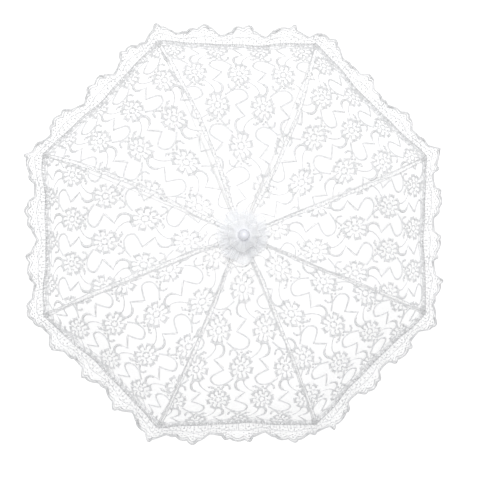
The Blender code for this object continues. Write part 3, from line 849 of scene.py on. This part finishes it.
class Look:
    """A new material with its Principled shader and short ways to add nodes."""

    def __init__(self, name):
        self.material = bpy.data.materials.new(name)
        self.material.use_nodes = True
        self.nodes = self.material.node_tree.nodes
        self.links = self.material.node_tree.links
        self.shader = self.nodes["Principled BSDF"]

    def add(self, kind, **values):
        """A new node. Each value is a property of it or the default of one of its inputs."""
        node = self.nodes.new(kind)
        for key, value in values.items():
            if hasattr(node, key):
                setattr(node, key, value)
            else:
                node.inputs[key.replace("_", " ")].default_value = value
        return node

    def link(self, source, target):
        """Join an output to an input."""
        self.links.new(source, target)

    def coordinates(self, scale=(1.0, 1.0, 1.0)):
        """Object coordinates, scaled."""
        source = self.add("ShaderNodeTexCoord")
        mapping = self.add("ShaderNodeMapping")
        mapping.inputs["Scale"].default_value = scale
        self.link(source.outputs["Object"], mapping.inputs["Vector"])
        return mapping.outputs["Vector"]

    def noise(self, vector, scale, detail=3.0, roughness=0.5):
        """Noise from 0 to 1."""
        node = self.add("ShaderNodeTexNoise", Scale=scale, Detail=detail, Roughness=roughness)
        self.link(vector, node.inputs["Vector"])
        return node.outputs["Fac"]

    def ramp(self, factor, low, high, low_at=0.3, high_at=0.7):
        """From one colour to the other."""
        node = self.add("ShaderNodeValToRGB")
        node.color_ramp.elements[0].position = low_at
        node.color_ramp.elements[1].position = high_at
        node.color_ramp.elements[0].color = (*low, 1.0)
        node.color_ramp.elements[1].color = (*high, 1.0)
        self.link(factor, node.inputs["Fac"])
        return node.outputs["Color"]

    def math(self, operation, first, second=0.0, third=0.0):
        """One step of arithmetic. Each value is a number or another node's output."""
        node = self.add("ShaderNodeMath", operation=operation)
        for socket, value in zip(node.inputs, (first, second, third)):
            if isinstance(value, (int, float)):
                socket.default_value = value
            else:
                self.link(value, socket)
        return node.outputs["Value"]

    def span(self, factor, low, high):
        """A number from low to high."""
        node = self.add("ShaderNodeMapRange")
        node.inputs["To Min"].default_value = low
        node.inputs["To Max"].default_value = high
        self.link(factor, node.inputs["Value"])
        return node.outputs["Result"]

    def bump(self, height, distance, strength):
        """Relief on the shader's normal."""
        node = self.add("ShaderNodeBump", Distance=distance, Strength=strength)
        self.link(height, node.inputs["Height"])
        self.link(node.outputs["Normal"], self.shader.inputs["Normal"])

    def net(self, cell, thread):
        """1 on the threads of a diamond net and 0 in its holes. cell and thread are in metres."""
        uv = self.add("ShaderNodeUVMap", uv_map="cloth")
        split = self.add("ShaderNodeSeparateXYZ")
        self.link(uv.outputs["UV"], split.inputs["Vector"])
        masks = []
        for slant in (NET_SLANT, -NET_SLANT):
            sheared = self.math("MULTIPLY_ADD", split.outputs["X"], slant, split.outputs["Y"])
            phase = self.math("FRACT", self.math("DIVIDE", sheared, cell))
            offset = self.math("ABSOLUTE", self.math("SUBTRACT", phase, 0.5))
            masks.append(self.math("LESS_THAN", offset, 0.5 * thread / cell))
        return self.math("MAXIMUM", masks[0], masks[1])


def thread_look(name, dark, light, sheen=0.25):
    """Twisted cotton thread, slightly mottled."""
    look = Look(name)
    vector = look.coordinates()
    mottle = look.noise(vector, 330.0, detail=2.0)
    look.link(look.ramp(mottle, dark, light), look.shader.inputs["Base Color"])
    look.link(look.span(look.noise(vector, 400.0), 0.55, 0.85), look.shader.inputs["Roughness"])
    look.shader.inputs["Sheen Weight"].default_value = sheen
    look.shader.inputs["Sheen Roughness"].default_value = 0.4
    twist = look.add("ShaderNodeTexWave", Scale=420.0, Distortion=3.0, Detail=2.0)
    twist.bands_direction = "DIAGONAL"
    look.link(vector, twist.inputs["Vector"])
    look.bump(twist.outputs["Fac"], 0.12 * MM, 0.7)
    return look.material


def net_look(name, color, cell, thread, strength, coarse_cell=0.0, coarse_thread=0.0):
    """Fine net, with a coarser one over it if asked: solid only on its threads."""
    look = Look(name)
    look.shader.inputs["Base Color"].default_value = (*color, 1.0)
    vector = look.coordinates()
    look.link(look.span(look.noise(vector, 60.0), 0.6, 0.9), look.shader.inputs["Roughness"])
    mask = look.net(cell, thread)
    if coarse_cell:
        mask = look.math("MAXIMUM", mask, look.net(coarse_cell, coarse_thread))
    look.link(look.math("MULTIPLY", mask, strength), look.shader.inputs["Alpha"])
    return look.material


def tulle_look():
    """Fine stiff net in several layers, cool white, half clear in its holes."""
    look = Look("rosette_tulle_look")
    vector = look.coordinates()
    tone = look.ramp(look.noise(vector, 220.0, detail=4.0), (0.93, 0.945, 0.975), (0.98, 0.985, 1.0))
    look.link(tone, look.shader.inputs["Base Color"])
    look.shader.inputs["Roughness"].default_value = 0.8
    look.shader.inputs["Sheen Weight"].default_value = 0.5
    mask = look.net(0.9 * MM, 0.34 * MM)
    look.link(look.span(mask, 0.42, 0.78), look.shader.inputs["Alpha"])
    look.bump(mask, 0.06 * MM, 0.4)
    return look.material


def plastic_look(name, color, rough):
    """Moulded plastic with faint shade changes."""
    look = Look(name)
    vector = look.coordinates()
    darker = tuple(0.95 * c for c in color)
    look.link(look.ramp(look.noise(vector, 35.0), darker, color), look.shader.inputs["Base Color"])
    look.link(look.span(look.noise(vector, 260.0), rough, rough + 0.14), look.shader.inputs["Roughness"])
    look.shader.inputs["Subsurface Weight"].default_value = 0.15
    look.shader.inputs["Subsurface Radius"].default_value = (0.002, 0.002, 0.002)
    look.bump(look.noise(vector, 900.0), 0.02 * MM, 0.5)
    return look.material


def wood_look(name, dark, light, lacquer):
    """Lacquered wood with its grain along the shaft."""
    look = Look(name)
    vector = look.coordinates((1.0, 1.0, 0.09))
    grain = look.noise(vector, 420.0, detail=6.0, roughness=0.6)
    rings = look.add("ShaderNodeTexWave", Scale=110.0, Distortion=5.0, Detail=3.0)
    look.link(vector, rings.inputs["Vector"])
    both = look.math("MULTIPLY_ADD", rings.outputs["Fac"], 0.45, look.math("MULTIPLY", grain, 0.6))
    look.link(look.ramp(both, dark, light, 0.25, 0.75), look.shader.inputs["Base Color"])
    look.link(look.span(grain, 0.32, 0.55), look.shader.inputs["Roughness"])
    look.shader.inputs["Coat Weight"].default_value = lacquer
    look.shader.inputs["Coat Roughness"].default_value = 0.18
    look.bump(both, 0.08 * MM, 0.5)
    return look.material


def metal_look(name, color, metallic, rough):
    """Drawn wire or sheet, bare with metallic 1 and enamelled with metallic 0."""
    look = Look(name)
    look.shader.inputs["Metallic"].default_value = metallic
    vector = look.coordinates()
    darker = tuple(0.86 * c for c in color)
    tone = look.ramp(look.noise(vector, 150.0, detail=5.0), darker, color)
    look.link(tone, look.shader.inputs["Base Color"])
    look.link(look.span(look.noise(vector, 500.0), rough, rough + 0.2), look.shader.inputs["Roughness"])
    look.bump(look.noise(vector, 1400.0), 0.015 * MM, 0.4)
    return look.material


def floor_look():
    """Plain white, glowing a little so that it stays as pale as the background."""
    look = Look("floor_look")
    look.shader.inputs["Base Color"].default_value = (0.92, 0.92, 0.92, 1.0)
    look.shader.inputs["Roughness"].default_value = 0.9
    look.shader.inputs["Emission Color"].default_value = (1.0, 1.0, 1.0, 1.0)
    look.shader.inputs["Emission Strength"].default_value = FLOOR_GLOW
    return look.material


# ---------------------------------------------------------------- scene


def build_canopy():
    """The cloth pieces of the eight ribs."""
    motif = thread_look("lace_thread_look", (0.68, 0.69, 0.7), (0.87, 0.87, 0.88))
    tape = thread_look("seam_tape_look", (0.68, 0.69, 0.7), (0.88, 0.88, 0.89), 0.15)
    # The ruffle's trim gets darker thread than the lace: painted shade, standing in for the shade inside
    # its dense embroidered edge.
    shaded_edging = thread_look("ruffle_edge_shaded_look", (0.65, 0.66, 0.67), (0.86, 0.86, 0.87))
    net = net_look("canopy_net_look", (0.82, 0.82, 0.83), 1.5 * MM, 0.2 * MM, 0.9)
    ruffle_net = net_look(
        "ruffle_net_look",
        (0.82, 0.82, 0.83),
        1.3 * MM,
        0.13 * MM,
        0.95,
        coarse_cell=3.6 * MM,
        coarse_thread=0.26 * MM,
    )
    lace = [Strands() for _ in range(GORES)]
    lay_lace(lace)
    for rib in range(GORES):
        number = rib + 1
        sheet = net_piece(rib, net)
        raised = lace[rib].piece(f"lace_motifs_{number}", motif)
        hem = hem_piece(rib, tape)
        ruffle = ruffle_piece(rib, ruffle_net)
        trim = ruffle_trim(rib, shaded_edging)
        seam = seam_piece(rib, tape)
        tie = tip_tie(rib, motif)
        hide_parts(f"canopy_section_{number}")
        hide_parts(f"ruffle_section_{number}")
        for piece in (sheet, raised, hem, ruffle, trim, seam, tie):
            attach(piece, f"rib_{number}")
        for piece in (sheet, raised, hem, ruffle, trim):
            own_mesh(piece)


def build_rosette():
    """The layers of tulle and the gathers at the neck."""
    tulle = tulle_look()
    thread = thread_look("rosette_thread_look", (0.93, 0.93, 0.94), (0.98, 0.98, 0.98))
    gathers = gathered_neck(thread)
    for number, (name, inner, outer, low, rise, pleats, flat, base) in enumerate(ROSETTE_LAYERS):
        phase = 0.4 + 1.7 * number
        layer = rosette_layer(name, inner * MM, outer * MM, low * MM, rise * MM, pleats, phase, tulle)
        edge = rosette_edge(name + "_edge", layer, thread)
        if number == 0:
            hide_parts("rosette")
        for piece in (layer, edge):
            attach(piece, "frame")
    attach(gathers, "frame")


def dress_cad_nodes():
    """Give every CAD node that stays a detailed material."""
    white = plastic_look("white_plastic_look", (0.90, 0.90, 0.89), 0.28)
    # The ferrule's white plastic is given a darker bluish grey than the other plastic: painted shade,
    # for the shade on the cap.
    ferrule = plastic_look("ferrule_shaded_look", (0.8, 0.81, 0.86), 0.25)
    shaft = wood_look("shaft_wood_look", (0.50, 0.33, 0.18), (0.76, 0.58, 0.37), 0.3)
    handle = wood_look("handle_wood_look", (0.44, 0.27, 0.14), (0.72, 0.52, 0.32), 0.6)
    steel = metal_look("steel_look", (0.72, 0.73, 0.75), 1.0, 0.22)
    enamel = metal_look("enamel_wire_look", (0.96, 0.96, 0.96), 0.0, 0.3)
    looks = {
        "shaft": shaft,
        "handle": handle,
        "ferrule": ferrule,
        "crown_ring": steel,
        "runner_ring": steel,
        "catch_spring": steel,
        "stop_pin": steel,
    }
    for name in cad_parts:
        look = looks.get(name, white)
        if name.startswith("rib_rivet"):
            look = steel
        elif name.startswith(("rib_", "stretcher_")):
            look = enamel
        materials = bpy.data.objects[name].data.materials
        materials.clear()
        materials.append(look)


def add_key_light():
    """One soft light above the canopy."""
    data = bpy.data.lights.new("key", "AREA")
    data.shape = "DISK"
    data.size = KEY_SIZE
    data.energy = KEY_POWER
    light = bpy.data.objects.new("key", data)
    light.location = KEY_PLACE
    light.rotation_euler = (Vector(KEY_TARGET) - Vector(KEY_PLACE)).to_track_quat("-Z", "Y").to_euler()
    bpy.context.scene.collection.objects.link(light)


def light_up_world(world):
    """White behind the object, and softer as a light."""
    tree = world.node_tree
    rays = tree.nodes.new("ShaderNodeLightPath")
    strength = tree.nodes.new("ShaderNodeMapRange")
    strength.inputs["To Min"].default_value = WORLD_LIGHT
    strength.inputs["To Max"].default_value = 1.0
    tree.links.new(rays.outputs["Is Camera Ray"], strength.inputs["Value"])
    tree.links.new(strength.outputs["Result"], tree.nodes["Background"].inputs["Strength"])


def build_stage():
    """Floor, background and light."""
    corners = [(-1.0, -1.0), (1.0, -1.0), (1.0, 1.0), (-1.0, 1.0)]
    points = np.array([(x * FLOOR_HALF, y * FLOOR_HALF, FLOOR_Z) for x, y in corners])
    floor = new_piece("floor", points, [[0, 1, 2, 3]], floor_look(), smooth=False)
    world = bpy.data.worlds.new("studio")
    world.use_nodes = True
    world.node_tree.nodes["Background"].inputs["Color"].default_value = (1.0, 1.0, 1.0, 1.0)
    light_up_world(world)
    bpy.context.scene.world = world
    add_key_light()
    bpy.context.scene.view_settings.view_transform = "Standard"


def build_camera():
    """The camera above the canopy, with +Y up in the picture."""
    data = bpy.data.cameras.new("camera")
    data.sensor_width = 36.0
    data.lens = CAMERA_LENS
    data.clip_start = 0.01
    camera = bpy.data.objects.new("camera", data)
    place = Vector(CAMERA_PLACE)
    forward = (Vector(CAMERA_TARGET) - place).normalized()
    right = forward.cross(Vector((0.0, 1.0, 0.0))).normalized()
    up = right.cross(forward)
    matrix = Matrix((right, up, -forward)).transposed().to_4x4()
    matrix.translation = place
    camera.matrix_world = matrix
    bpy.context.scene.collection.objects.link(camera)
    bpy.context.scene.camera = camera


build_canopy()
build_rosette()
dress_cad_nodes()
build_stage()
build_camera()
